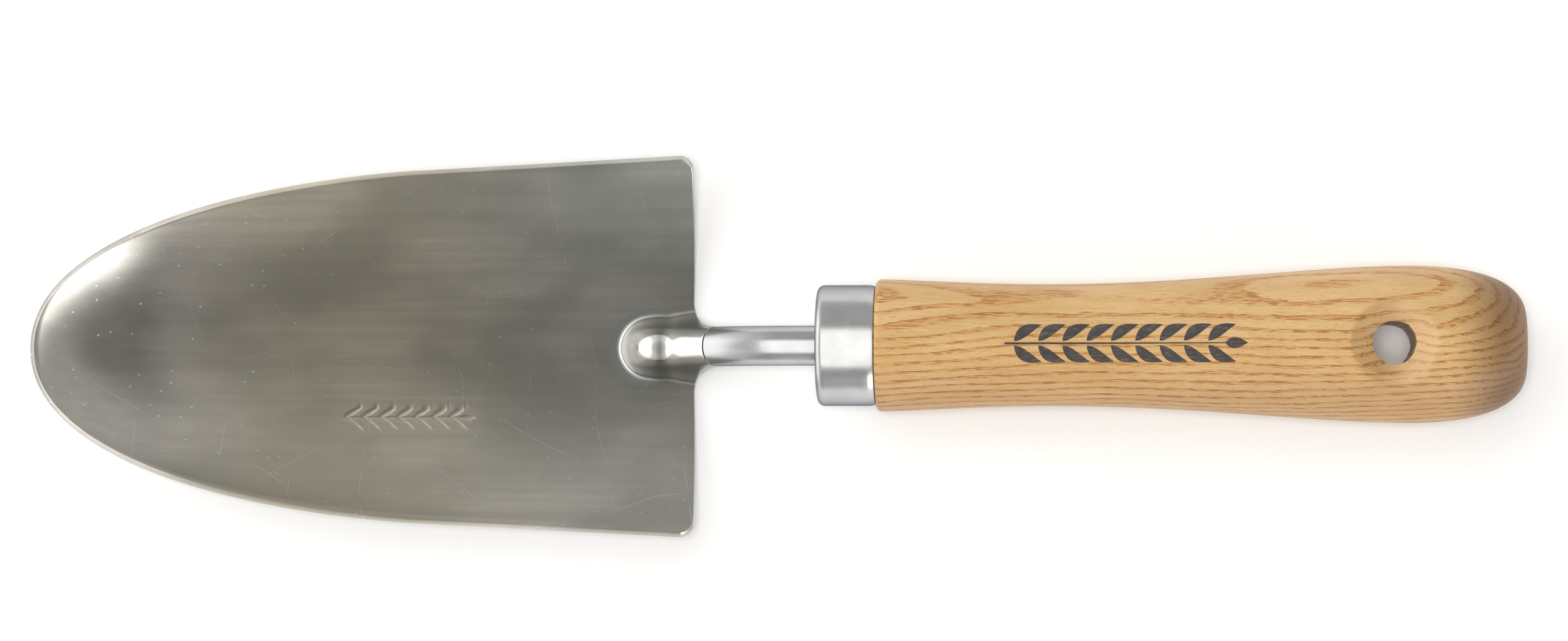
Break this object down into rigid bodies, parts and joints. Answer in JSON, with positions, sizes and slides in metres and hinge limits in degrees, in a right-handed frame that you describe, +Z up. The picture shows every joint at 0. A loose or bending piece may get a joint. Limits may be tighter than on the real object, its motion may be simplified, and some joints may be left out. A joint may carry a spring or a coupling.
{
  "type": "hand trowel",
  "caption": "Hand trowel with a dished round-tipped steel blade, a cranked rod shank, a metal ferrule and a turned ash handle with a hanging hole.",
  "frame": {"origin": "on the bench under the middle of the trowel's bounding box, as it lies on its back", "axes": "+X along the handle's axis from the blade's tip to the butt, +Z up out of the blade's hollow side, +Y across the blade"},
  "size_m": [0.3164, 0.0804, 0.0326],
  "materials": {
    "blade_steel": "satin, fine brush lines along the blade, polished rim",
    "rod_steel": "polished",
    "weld_metal": "as welded, lightly scorched",
    "ferrule_steel": "polished",
    "ash_wood": "turned ash under a thin satin lacquer",
    "resin": "cured resin, hidden"
  },
  "bodies": {
    "root": {"blade": "blade_steel", "shank": "rod_steel", "weld_left": "weld_metal", "weld_right": "weld_metal", "ferrule": "ferrule_steel", "handle": "ash_wood", "tang_adhesive": "resin"}
  },
  "joints": []
}
